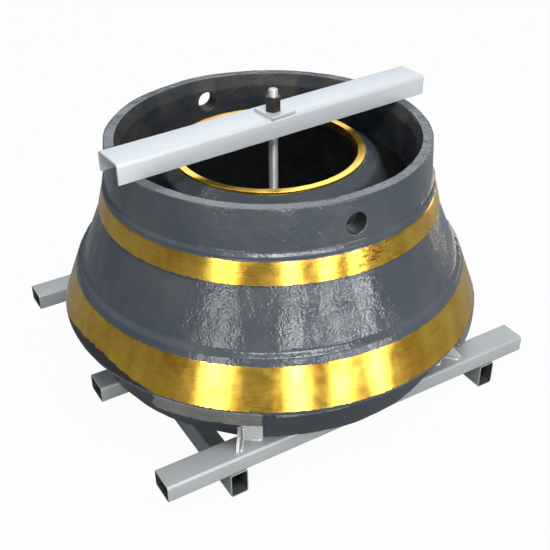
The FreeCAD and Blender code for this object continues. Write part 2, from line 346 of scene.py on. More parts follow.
@dataclass(frozen=True)
class GoldVarnish:
    """Yellow varnish on a turned seat between two heights, with paint that creeps over its edges."""

    name: str
    foot: float
    top: float
    paint: CastPaint
    light: Colour = (0.80, 0.50, 0.07, 1.0)
    deep: Colour = (0.60, 0.30, 0.028, 1.0)
    creep: float = 0.0018
    black_arc: tuple[float, float] | None = None
    flaked_arc: tuple[float, float] | None = None
    # Dark upright streaks painted into the gold's colour: painted reflection of its turned grooves.
    reflection_streak: Colour = (0.36, 0.165, 0.02, 1.0)
    flake: Colour = (0.42, 0.13, 0.01, 1.0)
    tarnish: Colour = (0.018, 0.017, 0.016, 1.0)
    tarnish_reach: float = 0.26

    def near(self, graph: Graph, arc: tuple[float, float]) -> bpy.types.NodeSocket:
        """How near a place is to the middle of an arc, from 1 there to 0 past its half width.

        Args:
            graph: the material's graph.
            arc: middle and half width in degrees.

        Returns:
            The share.
        """
        middle, half = (math.radians(value) for value in arc)
        across = graph.math("SUBTRACT", graph.math("MULTIPLY", graph.x, math.sin(middle)),
                            graph.math("MULTIPLY", graph.y, math.cos(middle)))
        along = graph.math("ADD", graph.math("MULTIPLY", graph.x, math.cos(middle)),
                           graph.math("MULTIPLY", graph.y, math.sin(middle)))
        turn = graph.math("ABSOLUTE", graph.math("ARCTAN2", across, along))
        return graph.ramp(turn, 0.0, half, 1.0, 0.0)

    def material(self) -> bpy.types.Material:
        """Build the material.

        Returns:
            The material.
        """
        graph = Graph(self.name)
        cloud = graph.noise(0.07, 4.0, 0.6, graph.scaled((1.0, 1.0, 0.55)))
        brushed = graph.noise(0.02, 3.0, 0.7, graph.scaled((0.25, 0.25, 12.0)))
        mixed = graph.math("ADD", graph.math("MULTIPLY", cloud, 0.7), graph.math("MULTIPLY", brushed, 0.3))
        tone = graph.blend(graph.ramp(mixed, 0.34, 0.60), self.deep, self.light)
        # Noise stretched upright darkens the gold in streaks: painted reflection.
        reflection_streak = graph.ramp(graph.noise(0.012, 3.0, 0.65, graph.scaled((1.0, 1.0, 0.16))), 0.60, 0.74)
        tone = graph.blend(graph.math("MULTIPLY", reflection_streak, 0.3), tone, self.reflection_streak)
        if self.flaked_arc:
            flake = graph.ramp(graph.noise(0.008, 4.0, 0.7, graph.scaled((0.6, 0.6, 1.4))), 0.5, 0.58)
            here = graph.math("MULTIPLY", flake, self.near(graph, self.flaked_arc))
            tone = graph.blend(here, tone, self.flake)
        rough = graph.ramp(graph.noise(0.03, 3.0, 0.6), 0.3, 0.8, 0.15, 0.27)
        groove = graph.noise(0.0018, 2.0, 0.6, graph.scaled((0.012, 0.012, 1.0)))
        wave = graph.noise(0.007, 2.0, 0.5, graph.scaled((0.03, 0.03, 1.0)))
        skin = graph.bump(wave, 0.00012)
        skin = graph.bump(groove, 0.00013, skin)
        scratch = graph.ramp(graph.noise(0.0035, 2.0, 0.6, graph.scaled((0.35, 0.35, 1.3))), 0.70, 0.78)
        skin = graph.bump(scratch, 0.0002, skin)
        gold = graph.shader(Base_Color=tone, Metallic=0.88, Roughness=rough, Normal=skin)
        drips = graph.ramp(graph.noise(0.007, 3.0, 0.7), 0.45, 0.75)
        ragged = graph.math("MULTIPLY", drips, self.creep * 2.2)
        low = graph.math("SUBTRACT", graph.z, self.foot)
        high = graph.math("SUBTRACT", self.top, graph.z)
        edge = graph.math("MINIMUM", low, high)
        cover = graph.math("LESS_THAN", edge, ragged)
        if self.black_arc:
            height = (self.top - self.foot) * self.tarnish_reach
            reach = graph.math("MULTIPLY", self.near(graph, self.black_arc), height)
            rag = graph.math("MULTIPLY", graph.noise(0.012, 3.0, 0.7), reach)
            bare = graph.math("LESS_THAN", low, graph.math("ADD", graph.math("MULTIPLY", reach, 0.55), rag))
            tarnish = graph.shader(Base_Color=self.tarnish, Roughness=0.42,
                                   Normal=graph.bump(graph.noise(0.004, 3.0, 0.7), 0.0006))
            away = graph.ramp(reach, 0.001, 0.004)
            gold = graph.layer(graph.math("MULTIPLY", bare, away), gold, tarnish)
        return graph.finish(graph.layer(cover, gold, self.paint.surface(graph)))


@dataclass(frozen=True)
class FramePaint:
    """Silver-grey sprayed paint on rolled steel, with rubbed and soiled places."""

    name: str
    base: Colour
    roughness: float = 0.42
    metallic: float = 0.25
    soil: float = 0.35
    relief: float = 0.00005
    shade: float = 0.72
    fleck: Colour = (0.22, 0.22, 0.22, 1.0)

    def material(self) -> bpy.types.Material:
        """Build the material.

        Returns:
            The material.
        """
        graph = Graph(self.name)
        cloud = graph.ramp(graph.noise(0.09, 4.0, 0.65), 0.45, 0.8)
        darker = tuple(part * self.shade for part in self.base[:3]) + (1.0,)
        tone = graph.blend(graph.math("MULTIPLY", cloud, self.soil), self.base, darker)
        fleck = graph.ramp(graph.noise(0.004, 3.0, 0.7), 0.70, 0.76)
        tone = graph.blend(graph.math("MULTIPLY", fleck, 0.5), tone, self.fleck)
        skin = graph.bump(graph.noise(0.0022, 2.0, 0.6), self.relief)
        surface = graph.shader(Base_Color=tone, Metallic=self.metallic, Roughness=self.roughness, Normal=skin)
        return graph.finish(surface)


@dataclass(frozen=True)
class WornSteel:
    """Bare or blacked steel with fine wear."""

    name: str
    base: Colour
    worn: Colour
    roughness: float
    metallic: float
    wear: float = 0.62

    def material(self) -> bpy.types.Material:
        """Build the material.

        Returns:
            The material.
        """
        graph = Graph(self.name)
        patch = graph.ramp(graph.noise(0.009, 4.0, 0.7), self.wear, self.wear + 0.12)
        tone = graph.blend(patch, self.base, self.worn)
        skin = graph.bump(graph.noise(0.0018, 3.0, 0.6), 0.00008)
        surface = graph.shader(Base_Color=tone, Metallic=self.metallic, Roughness=self.roughness, Normal=skin)
        return graph.finish(surface)


# ---------------------------------------------------------------------------------------------
# Surfaces
# ---------------------------------------------------------------------------------------------


@dataclass(frozen=True)
class Lumps:
    """Smooth seeded relief: n(p) = sum of cos(k_i . p + a_i), scaled to unit variance."""

    seed: int
    size: float
    waves: int = 36

    def __call__(self, points: np.ndarray) -> np.ndarray:
        """Relief at points.

        Args:
            points: an array of places, (n, 3).

        Returns:
            Relief of about unit variance, (n,).
        """
        draw = np.random.default_rng(self.seed)
        way = draw.normal(size=(self.waves, 3))
        way /= np.linalg.norm(way, axis=1, keepdims=True)
        number = TAU / (self.size * draw.uniform(0.7, 1.8, self.waves))
        phase = draw.uniform(0.0, TAU, self.waves)
        total = np.zeros(len(points))
        for k in range(self.waves):
            total += np.cos(points @ way[k] * number[k] + phase[k])
        return total * math.sqrt(2.0 / self.waves)


@dataclass(frozen=True)
class Corner:
    """Corner of a turned outline; finish and step belong to the stretch that follows it."""

    radius: float
    level: float
    rounding: float = 0.0
    finish: int = 0
    step: float = 0.006


@dataclass
class Outline:
    """Closed outline of a turned solid, sampled."""

    radius: np.ndarray
    level: np.ndarray
    finish: np.ndarray
    normal: np.ndarray = field(init=False)

    def __post_init__(self) -> None:
        """Work out the outward normal at each point from its two neighbours."""
        run = np.stack([np.roll(self.radius, -1) - np.roll(self.radius, 1),
                        np.roll(self.level, -1) - np.roll(self.level, 1)], axis=1)
        run /= np.linalg.norm(run, axis=1, keepdims=True)
        self.normal = np.stack([run[:, 1], -run[:, 0]], axis=1)

    @classmethod
    def through(cls, corners: list[Corner]) -> "Outline":
        """Sample straight stretches and rounded corners, going anticlockwise seen with the axis at the left.

        Args:
            corners: the corners in order.

        Returns:
            The outline.
        """
        count = len(corners)
        spots = [np.array([c.radius, c.level]) for c in corners]
        starts, ends, arcs = [], [], []
        for i, corner in enumerate(corners):
            if corner.rounding <= 0.0:
                starts.append(spots[i])
                ends.append(spots[i])
                arcs.append([spots[i]])
                continue
            back = spots[i - 1] - spots[i]
            onward = spots[(i + 1) % count] - spots[i]
            back = back / np.linalg.norm(back)
            onward = onward / np.linalg.norm(onward)
            half = math.acos(float(np.clip(back @ onward, -1.0, 1.0))) / 2.0
            reach = corner.rounding / math.tan(half)
            middle = back + onward
            centre = spots[i] + middle / np.linalg.norm(middle) * corner.rounding / math.sin(half)
            first, last = spots[i] + back * reach, spots[i] + onward * reach
            turn = math.pi - 2.0 * half
            steps = max(2, math.ceil(turn / math.radians(14.0)))
            arc = []
            for k in range(steps + 1):
                share = turn * k / steps
                arc.append(centre + ((first - centre) * math.sin(turn - share)
                                     + (last - centre) * math.sin(share)) / math.sin(turn))
            starts.append(first)
            ends.append(last)
            arcs.append(arc)
        points, finish = [], []
        for i, corner in enumerate(corners):
            previous = corners[i - 1].finish
            for spot in arcs[i][:-1]:
                points.append(spot)
                finish.append(previous if previous == corner.finish else 0)
            run = starts[(i + 1) % count] - ends[i]
            length = float(np.linalg.norm(run))
            pieces = max(1, math.ceil(length / corner.step)) if length > 1e-7 else 0
            for k in range(pieces):
                points.append(ends[i] + run * k / pieces)
                finish.append(corner.finish)
        grid = np.array(points)
        return cls(grid[:, 0], grid[:, 1], np.array(finish))


def grid_faces(rows: int, columns: int, closed_rows: bool, closed_columns: bool) -> np.ndarray:
    """Quads of a grid of points numbered row by row.

    Args:
        rows: number of rows.
        columns: points in a row.
        closed_rows: whether the last row joins the first.
        closed_columns: whether each row is a ring.

    Returns:
        Corner numbers, (n, 4).
    """
    i = np.arange(rows if closed_rows else rows - 1)[:, None]
    j = np.arange(columns if closed_columns else columns - 1)[None, :]
    below, beside = (i + 1) % rows, (j + 1) % columns
    corners = [i * columns + j, i * columns + beside, below * columns + beside, below * columns + j]
    return np.stack([np.broadcast_to(c, (i.size, j.size)).ravel() for c in corners], axis=1)


@dataclass
class Shell:
    """Faces gathered for one piece."""

    points: list[np.ndarray] = field(default_factory=list)
    faces: list[np.ndarray] = field(default_factory=list)
    finishes: list[np.ndarray] = field(default_factory=list)
    total: int = 0

    def add(self, points: np.ndarray, faces: np.ndarray, finish: object = 0) -> None:
        """Add a patch.

        Args:
            points: its points, (n, 3).
            faces: its quads, (m, 4).
            finish: one finish number, or one for each face.
        """
        self.points.append(points)
        self.faces.append(faces + self.total)
        self.finishes.append(np.broadcast_to(np.asarray(finish), (len(faces),)).copy())
        self.total += len(points)

    def strip(self, rings: np.ndarray, finish: object = 0, closed_rows: bool = False,
              closed_columns: bool = True) -> None:
        """Add a grid of points.

        Args:
            rings: points, (rows, columns, 3).
            finish: finish number.
            closed_rows: whether the last row joins the first.
            closed_columns: whether each row is a ring.
        """
        rows, columns = rings.shape[:2]
        self.add(rings.reshape(-1, 3), grid_faces(rows, columns, closed_rows, closed_columns), finish)

    def cap(self, ring: np.ndarray, finish: object = 0) -> None:
        """Close a ring with a fan of faces round its middle.

        Args:
            ring: points of the ring, (n, 3).
            finish: finish number.
        """
        middle = np.broadcast_to(ring.mean(axis=0), ring.shape)
        self.strip(np.stack([ring, middle]), finish)

    def build(self, name: str, materials: list[bpy.types.Material], slot: str, sharp: float = 35.0,
              replaces: tuple[str, ...] = ()) -> bpy.types.Object:
        """Make the piece, welded, with its faces outward.

        Args:
            name: the piece's name.
            materials: its materials in finish order.
            slot: the record's material slot; not used.
            sharp: angle in degrees past which an edge stays sharp.
            replaces: the CAD nodes that it stands for.

        Returns:
            The new object.
        """
        mesh = bpy.data.meshes.new(name)
        mesh.from_pydata(np.vstack(self.points).tolist(), [], np.vstack(self.faces).tolist())
        mesh.polygons.foreach_set("material_index", np.concatenate(self.finishes).astype(np.int32))
        work = bmesh.new()
        work.from_mesh(mesh)
        bmesh.ops.remove_doubles(work, verts=work.verts, dist=2e-6)
        bmesh.ops.dissolve_degenerate(work, edges=work.edges, dist=1e-7)
        bmesh.ops.recalc_face_normals(work, faces=work.faces)
        work.to_mesh(mesh)
        work.free()
        mesh.polygons.foreach_set("use_smooth", np.ones(len(mesh.polygons), bool))
        mesh.set_sharp_from_angle(angle=math.radians(sharp))
        for material in materials:
            mesh.materials.append(material)
        piece = bpy.data.objects.new(name, mesh)
        bpy.context.scene.collection.objects.link(piece)
        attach(piece, ROOT)
        if replaces:
            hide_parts(*replaces)
        return piece


def polar(radius: np.ndarray, angle: np.ndarray, level: np.ndarray) -> np.ndarray:
    """Places from radius, angle and level: (r cos a, r sin a, z).

    Args:
        radius: distances from the axis.
        angle: angles in radians.
        level: heights.

    Returns:
        Places, with a last axis of 3.
    """
    return np.stack(np.broadcast_arrays(radius * np.cos(angle), radius * np.sin(angle), level), axis=-1)


# ---------------------------------------------------------------------------------------------
# Castings
# ---------------------------------------------------------------------------------------------


class Skin(Enum):
    """Finish numbers on a casting."""

    PAINT = 0
    SEAT = 1
    UPPER_SEAT = 2
    INSIDE = 3
    # Near-black painted shade on the walls of the bored holes.
    BORE_SHADE = 4


@dataclass(frozen=True)
class Boring:
    """Round hole through both faces of a turned wall, along a line through the axis."""

    angle: float
    level: float
    radius: float
    lip: float = 0.0022

    def ring(self, across: np.ndarray, up: np.ndarray, wall: Wall, inward: np.ndarray,
             sign: float) -> np.ndarray:
        """Places at offsets from the hole's line on a wall r = wall(z), moved along the line.

        A point at offset s across lies at a = angle + asin(s / r), r = wall(z).

        Args:
            across: level offsets.
            up: vertical offsets.
            wall: function that gives the wall's radius at a height.
            inward: how far each point is moved into the metal.
            sign: -1 where the metal is on the axis side, and 1 where it is outside.

        Returns:
            Places, (n, 3).
        """
        height = self.level + up
        radius = wall(height)
        points = polar(radius, self.angle + np.arcsin(across / radius), height)
        line = np.array([math.cos(self.angle), math.sin(self.angle), 0.0])
        return points + inward[..., None] * sign * line


@dataclass
class TurnedCasting:
    """Turned body with cast lumps, and holes bored through its wall."""

    outline: Outline
    columns: int
    start: float = 0.0
    lumps: float = 0.0005
    seed: int = 3
    window: int = 6

    def relief(self, points: np.ndarray, weight: np.ndarray) -> np.ndarray:
        """Cast unevenness at points.

        Args:
            points: places, (n, 3).
            weight: share of the relief at each point.

        Returns:
            Height of the relief in metres.
        """
        broad = Lumps(self.seed, 0.11)(points)
        fine = Lumps(self.seed + 1, 0.028)(points)
        return weight * self.lumps * (0.75 * broad + 0.35 * fine)

    def wall(self, rows: np.ndarray) -> Wall:
        """Radius of a stretch of the outline as a function of height.

        Args:
            rows: numbers of the outline's points on the stretch.

        Returns:
            A function of height.
        """
        order = rows[np.argsort(self.outline.level[rows])]
        heights, radii = self.outline.level[order], self.outline.radius[order]
        return lambda height: np.interp(height, heights, radii)

    def shell(self, borings: list[Boring], sides: tuple[np.ndarray, np.ndarray] | None = None) -> Shell:
        """Make the turned surface with its bored holes.

        Args:
            borings: the holes.
            sides: rows of the outline on the outer and the inner face that the holes go through.

        Returns:
            The faces.
        """
        outline, columns = self.outline, self.columns
        rows = len(outline.radius)
        angles = self.start + np.arange(columns) / columns * TAU
        grid = polar(outline.radius[:, None], angles[None, :], outline.level[:, None])
        painted = np.isin(outline.finish, (Skin.PAINT.value, Skin.INSIDE.value))
        weight = (painted & np.roll(painted, 1)).astype(float)
        for _ in range(3):
            weight = np.minimum(weight, (np.roll(weight, 1) + weight + np.roll(weight, -1)) / 3.0)
        way = polar(outline.normal[:, None, 0], angles[None, :], outline.normal[:, None, 1])
        flat = grid.reshape(-1, 3)
        height = self.relief(flat, np.repeat(weight, columns))
        moved = (flat + way.reshape(-1, 3) * height[:, None]).reshape(grid.shape)
        faces = grid_faces(rows, columns, True, True)
        finish = np.repeat(outline.finish, columns)
        keep = np.ones(len(faces), bool)
        shell = Shell()
        for boring in borings:
            rims = []
            for side, sign in zip(sides, (-1.0, 1.0)):
                rims.append(self.pierce(shell, boring, side, sign, moved, keep, angles))
            self.tunnel(shell, rims)
        shell.add(moved.reshape(-1, 3), faces[keep], finish[keep])
        return shell

    def pierce(self, shell: Shell, boring: Boring, side: np.ndarray, sign: float, moved: np.ndarray,
               keep: np.ndarray, angles: np.ndarray) -> np.ndarray:
        """Open a window in the grid and fill it with rings that close in on the hole.

        Args:
            shell: where the rings go.
            boring: the hole.
            side: rows of the outline on this face.
            sign: -1 on the outer face, 1 on the inner one.
            moved: the grid's places, (rows, columns, 3).
            keep: faces of the grid that stay, changed in place.
            angles: the columns' angles.

        Returns:
            The ring where the rounded lip meets the bore, (n, 3).
        """
        half = self.window
        near = np.argmin(np.abs(self.outline.level[side] - boring.level))
        middle = int(side[near])
        turn = np.angle(np.exp(1j * (angles - boring.angle)))
        centre = int(np.argmin(np.abs(turn)))
        step = 1 if self.outline.level[middle + 1] > self.outline.level[middle] else -1
        r = middle + step * np.arange(-half, half + 1)
        c = (centre + np.arange(-half, half + 1)) % self.columns
        low = np.minimum(r[:-1], r[1:])
        for row in low:
            for column in c[:-1]:
                keep[row * self.columns + column] = False
        edge = [(r[0], k) for k in c[:-1]] + [(k, c[-1]) for k in r[:-1]]
        edge += [(r[-1], k) for k in c[:0:-1]] + [(k, c[0]) for k in r[:0:-1]]
        border = np.array([moved[i, j] for i, j in edge])
        line = np.array([math.cos(boring.angle), math.sin(boring.angle), 0.0])
        beside = np.array([-line[1], line[0], 0.0])
        across, up = border @ beside, border[:, 2] - boring.level
        face = self.wall(side)
        bearing = np.arctan2(up, across)
        weightless = boring.ring(across, up, face, np.zeros(len(up)), sign)
        lift = border - weightless
        rings = []
        outer = boring.radius + boring.lip
        for share in np.linspace(1.0, 0.0, 7):
            s = across * share + outer * np.cos(bearing) * (1.0 - share)
            z = up * share + outer * np.sin(bearing) * (1.0 - share)
            rings.append(boring.ring(s, z, face, np.zeros(len(up)), sign) + lift * share)
        for bend in np.linspace(0.0, math.pi / 2.0, 5)[1:]:
            round_off = outer - boring.lip * math.sin(bend)
            sunk = np.full(len(up), boring.lip * (1.0 - math.cos(bend)))
            beside_line, above_line = round_off * np.cos(bearing), round_off * np.sin(bearing)
            rings.append(boring.ring(beside_line, above_line, face, sunk, sign))
        shell.strip(np.array(rings), self.outline.finish[middle])
        return rings[-1]

    @staticmethod
    def tunnel(shell: Shell, rims: list[np.ndarray]) -> None:
        """Join the two rims of a hole.

        Args:
            shell: where the faces go.
            rims: outer and inner rim, with the same bearings.
        """
        share = np.linspace(0.0, 1.0, 7)[:, None, None]
        # The bore's wall takes the near-black painted shade.
        shell.strip(rims[0][None] * (1.0 - share) + rims[1][None] * share, Skin.BORE_SHADE.value)


# ---------------------------------------------------------------------------------------------
# Pieces
# ---------------------------------------------------------------------------------------------


@dataclass
class Levels:
    """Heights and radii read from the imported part, in metres."""

    bed: float
    skirt: float
    mantle_top: float
    rim: float
    seat: float

    @classmethod
    def of_frame(cls) -> "Levels":
        """Read them.

        Returns:
            The levels.
        """
        mantle_low, mantle_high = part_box("mantle")
        liner_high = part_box("bowl_liner")[1]
        return cls(mantle_low.z, mantle_high.x, mantle_high.z, liner_high.z, liner_high.x - SEAT_ROOM)


@dataclass(frozen=True)
class LinerForm:
    """Sizes of the bowl liner. Heights are above the bed, and drops are from the lower seat's foot radius."""

    toe_radius: float = 0.3783
    toe_height: float = 0.108
    toe_chamfer: float = 0.0045
    lower_seat: tuple[float, float] = (0.1195, 0.2045)
    lower_seat_drop: float = 0.033
    step_drop: float = 0.034
    step_height: float = 0.2065
    bead_drop: float = 0.039
    bead_height: float = 0.2185
    cone_drop: float = 0.0505
    cone_height: float = 0.225
    neck_radius: float = 0.367
    neck_height: float = 0.3415
    upper_seat: tuple[float, float] = (0.344, 0.3895)
    upper_seat_radii: tuple[float, float] = (0.3695, 0.3575)
    lip_radius: float = 0.3565
    lip: tuple[float, float] = (0.391, 0.398)
    collar_foot: float = 0.404
    collar_foot_radius: float = 0.350
    rim_radius: float = 0.344
    mouth_radius: float = 0.322
    throat_radius: float = 0.312
    throat_depth: float = 0.027
    feed_radius: float = 0.309
    feed_height: float = 0.380
    crush_radius: float = 0.342
    crush_height: float = 0.19
    hole_angle: float = math.radians(-92.6)
    hole_height: float = 0.440
    hole_radius: float = 0.022
    ledge_angle: float = math.radians(-136.5)
    ledge_arc: float = math.radians(27.5)
    ledge_depth: float = 0.040
    ledge_proud: float = 0.0028
    ledge_foot: float = 0.085
    ledge_edge: float = 0.1165


@dataclass
class BowlLiner:
    """Outer casting: collar, two turned seats, bead, crushing face, lifting holes and ledges."""

    levels: Levels
    form: LinerForm = LinerForm()
    columns: int = 480
    ledge_stations: int = 64

    def corners(self) -> list[Corner]:
        """Outline of the casting, from its foot up the outside and down the inside.

        Returns:
            The corners.
        """
        paint, inside = Skin.PAINT.value, Skin.INSIDE.value
        seat, upper = Skin.SEAT.value, Skin.UPPER_SEAT.value
        form, bed, rim, foot = self.form, self.levels.bed, self.levels.rim, self.levels.seat
        return [
            Corner(form.toe_radius, bed + form.toe_height, 0.0, inside, HIDDEN_STEP),
            Corner(foot - form.toe_chamfer, bed + form.toe_height, 0.002, paint),
            Corner(foot, bed + form.lower_seat[0], 0.0, seat, SEAT_STEP),
            Corner(foot - form.lower_seat_drop, bed + form.lower_seat[1], 0.0, paint),
            Corner(foot - form.step_drop, bed + form.step_height, 0.0, paint, EDGE_STEP),
            Corner(foot - form.bead_drop, bed + form.bead_height, 0.005, paint, EDGE_STEP),
            Corner(foot - form.cone_drop, bed + form.cone_height, 0.009, paint),
            Corner(form.neck_radius, bed + form.neck_height, 0.0, paint),
            Corner(form.upper_seat_radii[0], bed + form.upper_seat[0], 0.0, upper, SEAT_STEP),
            Corner(form.upper_seat_radii[1], bed + form.upper_seat[1], 0.0, paint),
            Corner(form.lip_radius, bed + form.lip[0], 0.0, paint, LIP_STEP),
            Corner(form.lip_radius, bed + form.lip[1], 0.0025, paint, LIP_STEP),
            Corner(form.collar_foot_radius, bed + form.collar_foot, 0.005, paint, COLLAR_STEP),
            Corner(form.rim_radius, rim, 0.002, paint, EDGE_STEP),
            Corner(form.mouth_radius, rim, 0.0015, inside, COLLAR_STEP),
            Corner(form.throat_radius, rim - form.throat_depth, 0.004, inside, COLLAR_STEP),
            Corner(form.feed_radius, bed + form.feed_height, 0.02, inside, HIDDEN_STEP),
            Corner(form.crush_radius, bed + form.crush_height, 0.02, inside, HIDDEN_STEP),
        ]

    def build(self, finishes: list[bpy.types.Material]) -> list[bpy.types.Object]:
        """Make the casting and its four ledges.

        Args:
            finishes: materials in the order of Skin, then the ledges' own.

        Returns:
            The pieces.
        """
        outline = Outline.through(self.corners())
        casting = TurnedCasting(outline, self.columns)
        high = (outline.level > self.levels.bed + 0.3995) & (outline.level < self.levels.rim - 0.004)
        way = np.roll(outline.level, -1) - outline.level
        outer, inner = np.flatnonzero(high & (way > 0)), np.flatnonzero(high & (way < 0))
        form, level = self.form, self.levels.bed + self.form.hole_height
        holes = [Boring(form.hole_angle + k * math.pi, level, form.hole_radius) for k in (0, 1)]
        shell = casting.shell(holes, (outer, inner))
        pieces = [shell.build("bowl_liner_casting", finishes[:5], "liner_paint", replaces=("bowl_liner",))]
        names = ("front_left_ledge", "front_right_ledge", "rear_right_ledge", "rear_left_ledge")
        for k, name in enumerate(names):
            pieces.append(self.ledge(name, form.ledge_angle + k * TAU / 4.0, k, finishes[5]))
        return pieces

    def ledge(self, name: str, middle: float, number: int, material: bpy.types.Material) -> bpy.types.Object:
        """Make one cast ledge with ragged ends.

        Args:
            name: the piece's name.
            middle: angle of its middle.
            number: its number, which seeds its relief.
            material: its finish.

        Returns:
            The piece.
        """
        form, bed, foot, count = self.form, self.levels.bed, self.levels.seat, self.ledge_stations
        root, nose, low = foot - form.ledge_depth, foot + form.ledge_proud, bed + form.ledge_foot
        outline = Outline.through([
            Corner(root, low, 0.003, 0, 0.008),
            Corner(nose, low, 0.003, 0, LIP_STEP),
            Corner(nose, bed + form.ledge_edge, 0.002, 0, LIP_STEP),
            Corner(foot - 0.005, bed + 0.1172),
            Corner(root, bed + 0.112)])
        turn = middle + np.linspace(-0.5, 0.5, count) * form.ledge_arc
        rings = polar(outline.radius[None, :], turn[:, None], outline.level[None, :])
        centre = rings.mean(axis=1, keepdims=True)
        flat = rings.reshape(-1, 3)
        rough = Lumps(40 + number, 0.02)(flat) * 0.0006 + Lumps(50 + number, 0.007)(flat) * 0.00035
        away = rings - centre
        away /= np.linalg.norm(away, axis=2, keepdims=True)
        rings = rings - away * np.abs(rough).reshape(rings.shape[:2])[..., None]
        ends = np.minimum(np.arange(count), np.arange(count)[::-1])
        shrink = np.interp(ends, [0, 1, 2, 4], [0.80, 0.92, 0.975, 1.0])[:, None, None]
        rings = centre + (rings - centre) * shrink
        torn = Lumps(60 + number, 0.012)(flat).reshape(rings.shape[:2]) * 0.002
        along = np.stack([-np.sin(turn), np.cos(turn), np.zeros(count)], axis=1)[:, None, :]
        rings = rings + along * torn[..., None] * np.interp(ends, [0, 3, 6], [1.0, 0.5, 0.0])[:, None, None]
        shell = Shell()
        shell.strip(rings)
        shell.cap(rings[0])
        shell.cap(rings[-1])
        return shell.build(name, [material], "liner_paint")


@dataclass(frozen=True)
class PaintRuns:
    """Small runs of paint that hang on the collar below a lifting hole and along its foot."""

    levels: Levels
    form: LinerForm = LinerForm()
    count: int = 16
    below_hole: int = 5
    hole_spread: float = 0.07
    foot_spread: float = 0.9
    hole_heights: tuple[float, float] = (0.414, 0.422)
    foot_heights: tuple[float, float] = (0.408, 0.416)
    lengths: tuple[float, float] = (0.004, 0.010)
    widths: tuple[float, float] = (0.0012, 0.0024)
    thickness: float = 0.45
    seed: int = 5

    def drop(self, angle: float, level: float, length: float, width: float) -> np.ndarray:
        """Rings of one run: half width w sqrt(4 t (1 - t)) (0.5 + 0.5 t), t from its top to its tip.

        Args:
            angle: where it hangs.
            level: height of its top.
            length: its length.
            width: its largest half width.

        Returns:
            Places, (rows, columns, 3).
        """
        share = np.linspace(0.0, 1.0, 14)[:, None]
        turn = np.linspace(0.0, TAU, 12, endpoint=False)[None, :]
        half = width * np.sqrt(4.0 * share * (1.0 - share) + 1e-6) * (0.5 + 0.5 * share)
        height = level - share * length
        form = self.form
        wall = np.interp(height, [self.levels.bed + form.collar_foot, self.levels.rim],
                         [form.collar_foot_radius, form.rim_radius])
        radius = wall + half * self.thickness * np.cos(turn)
        return polar(radius, angle + half * np.sin(turn) / radius, height)

    def build(self, material: bpy.types.Material) -> bpy.types.Object:
        """Make all the runs as one piece.

        Args:
            material: their finish.

        Returns:
            The piece.
        """
        draw = np.random.default_rng(self.seed)
        shell = Shell()
        for k in range(self.count):
            if k < self.below_hole:
                angle = self.form.hole_angle + draw.uniform(0.0, self.hole_spread)
                height = draw.uniform(*self.hole_heights)
            else:
                angle = self.form.hole_angle + draw.uniform(-self.foot_spread, self.foot_spread)
                height = draw.uniform(*self.foot_heights)
            length, width = draw.uniform(*self.lengths), draw.uniform(*self.widths)
            rings = self.drop(angle, self.levels.bed + height, length, width)
            shell.strip(rings)
            shell.cap(rings[0])
            shell.cap(rings[-1])
        return shell.build("collar_paint_runs", [material], "liner_paint", sharp=80.0)


@dataclass
class Mantle:
    """Inner casting that stands on the bed; depths are below its top."""

    levels: Levels
    foot_width: float = 0.054
    skirt_draft: float = 0.002
    skirt_height: float = 0.048
    shoulder_radius: float = 0.236
    shoulder_depth: float = 0.0205
    land_radius: float = 0.208
    ring_radius: float = 0.206
    ring_height: float = 0.0045
    bore_radius: float = 0.1895
    bore_depth: float = 0.017

    def corners(self) -> list[Corner]:
        """Outline of the casting, from its foot up the outside and down the inside.

        Returns:
            The corners.
        """
        paint, seat, inside = Skin.PAINT.value, Skin.SEAT.value, Skin.INSIDE.value
        bed, top, skirt = self.levels.bed, self.levels.mantle_top, self.levels.skirt
        land = top - self.ring_height
        return [
            Corner(skirt - self.foot_width, bed, 0.0, inside, HIDDEN_STEP),
            Corner(skirt, bed, 0.003, paint, 0.008),
            Corner(skirt - self.skirt_draft, bed + self.skirt_height, 0.01, paint, 0.012),
            Corner(self.shoulder_radius, top - self.shoulder_depth, 0.022, paint, EDGE_STEP),
            Corner(self.land_radius, land, 0.0, paint, 0.002),
            Corner(self.ring_radius, land, 0.0, seat, LIP_STEP),
            Corner(self.ring_radius, top, 0.001, seat, EDGE_STEP),
            Corner(self.bore_radius, top, 0.001, seat, EDGE_STEP),
            # Below the gold bore the inside faces take the mantle's near-black painted shade.
            Corner(self.bore_radius, top - self.bore_depth, 0.0, inside, EDGE_STEP),
            Corner(0.1945, top - 0.022, 0.0, inside),
            Corner(0.194, top - 0.037, 0.008, inside, 0.015),
            Corner(0.337, bed + 0.087, 0.004, inside, HIDDEN_STEP),
            Corner(0.366, bed + 0.014, 0.004, inside, HIDDEN_STEP),
        ]

    def build(self, finishes: list[bpy.types.Material]) -> list[bpy.types.Object]:
        """Make the casting.

        Args:
            finishes: materials in the order of Skin.

        Returns:
            The pieces.
        """
        casting = TurnedCasting(Outline.through(self.corners()), 400, lumps=0.0006, seed=11)
        return [casting.shell([]).build("mantle_casting", finishes, "mantle_paint", replaces=("mantle",))]


